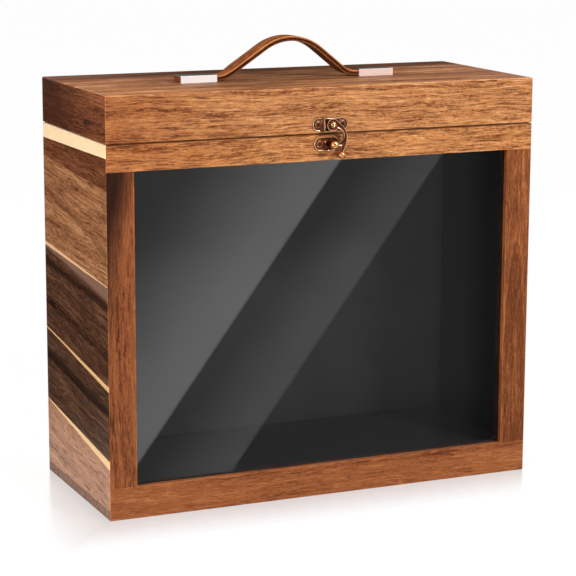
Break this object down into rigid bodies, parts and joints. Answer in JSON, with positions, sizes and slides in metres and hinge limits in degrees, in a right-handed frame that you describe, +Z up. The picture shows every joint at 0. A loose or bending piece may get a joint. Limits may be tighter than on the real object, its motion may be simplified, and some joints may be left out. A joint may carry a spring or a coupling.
{
  "type": "record storage box",
  "caption": "Upright acacia box for long-playing records: hinged lid, swing hook latch, glass front window and a leather strap handle on chrome blocks.",
  "frame": {"origin": "centre of the wooden box's underside, on the surface that it stands on", "axes": "+X to the right along the front, -Y out of the glass front, +Z up"},
  "size_m": [0.4, 0.1896, 0.3975],
  "materials": {
    "acacia_front": "satin clear lacquer, orange-brown",
    "acacia_lid": "satin clear lacquer, golden brown",
    "acacia_top": "satin clear lacquer, brown",
    "acacia_side": "satin clear lacquer, mixed brown staves",
    "black_bead": "matt black paint",
    "window_glass": "clear float glass",
    "black_velvet": "matt black short-pile velvet",
    "leather_outer": "smooth brown leather",
    "leather_lining": "dark brown leather",
    "chrome": "polished",
    "antique_copper": "antique copper plate, rubbed bright at the edges",
    "steel_screw": "zinc-plated"
  },
  "bodies": {
    "box_body": {"back_pad": "black_velvet", "back_stave_1": "acacia_side", "back_stave_2": "acacia_side", "back_stave_3": "acacia_side", "back_stave_4": "acacia_side", "back_stave_5": "acacia_side", "bottom_board": "acacia_side", "catch_plate": "antique_copper", "catch_post": "antique_copper", "catch_screw": "antique_copper", "floor_pad": "black_velvet", "front_bottom_rail": "acacia_front", "front_stile_left": "acacia_front", "front_stile_right": "acacia_front", "front_top_rail": "acacia_lid", "hinge_body_leaf_left": "antique_copper", "hinge_body_leaf_right": "antique_copper", "hinge_body_screws": "antique_copper", "hinge_pin_left": "antique_copper", "hinge_pin_right": "antique_copper", "lining_left": "black_velvet", "lining_right": "black_velvet", "pane_bead_bottom": "black_bead", "pane_bead_left": "black_bead", "pane_bead_right": "black_bead", "pane_bead_top": "black_bead", "side_left_stave_1": "acacia_side", "side_left_stave_2": "acacia_side", "side_left_stave_3": "acacia_side", "side_left_stave_4": "acacia_side", "side_left_stave_5": "acacia_side", "side_right_stave_1": "acacia_side", "side_right_stave_2": "acacia_side", "side_right_stave_3": "acacia_side", "side_right_stave_4": "acacia_side", "side_right_stave_5": "acacia_side", "window_pane": "window_glass"},
    "lid": {"handle_block_left": "chrome", "handle_block_right": "chrome", "handle_screws": "steel_screw", "hinge_lid_leaf_left": "antique_copper", "hinge_lid_leaf_right": "antique_copper", "hinge_lid_screws": "antique_copper", "latch_plate": "antique_copper", "latch_plate_screws": "antique_copper", "latch_rivet": "antique_copper", "lid_back": "acacia_side", "lid_front": "acacia_lid", "lid_left": "acacia_side", "lid_lining": "black_velvet", "lid_right": "acacia_side", "lid_top_stave_1": "acacia_top", "lid_top_stave_2": "acacia_top", "lid_top_stave_3": "acacia_top", "strap_lining": "leather_lining", "strap_outer": "leather_outer"},
    "latch_arm": {"finger_knob": "antique_copper", "latch_hook": "antique_copper"}
  },
  "joints": [
    {"name": "lid_hinge", "type": "hinge", "parent": "box_body", "child": "lid", "pos_m": [0, 0.08775, 0.32], "axis": [-1, 0, 0], "range_deg": [0, 180]},
    {"name": "latch_swing", "type": "hinge", "parent": "lid", "child": "latch_arm", "pos_m": [0.0016, -0.085, 0.3278], "axis": [0, -1, 0], "range_deg": [-5, 100]}
  ]
}
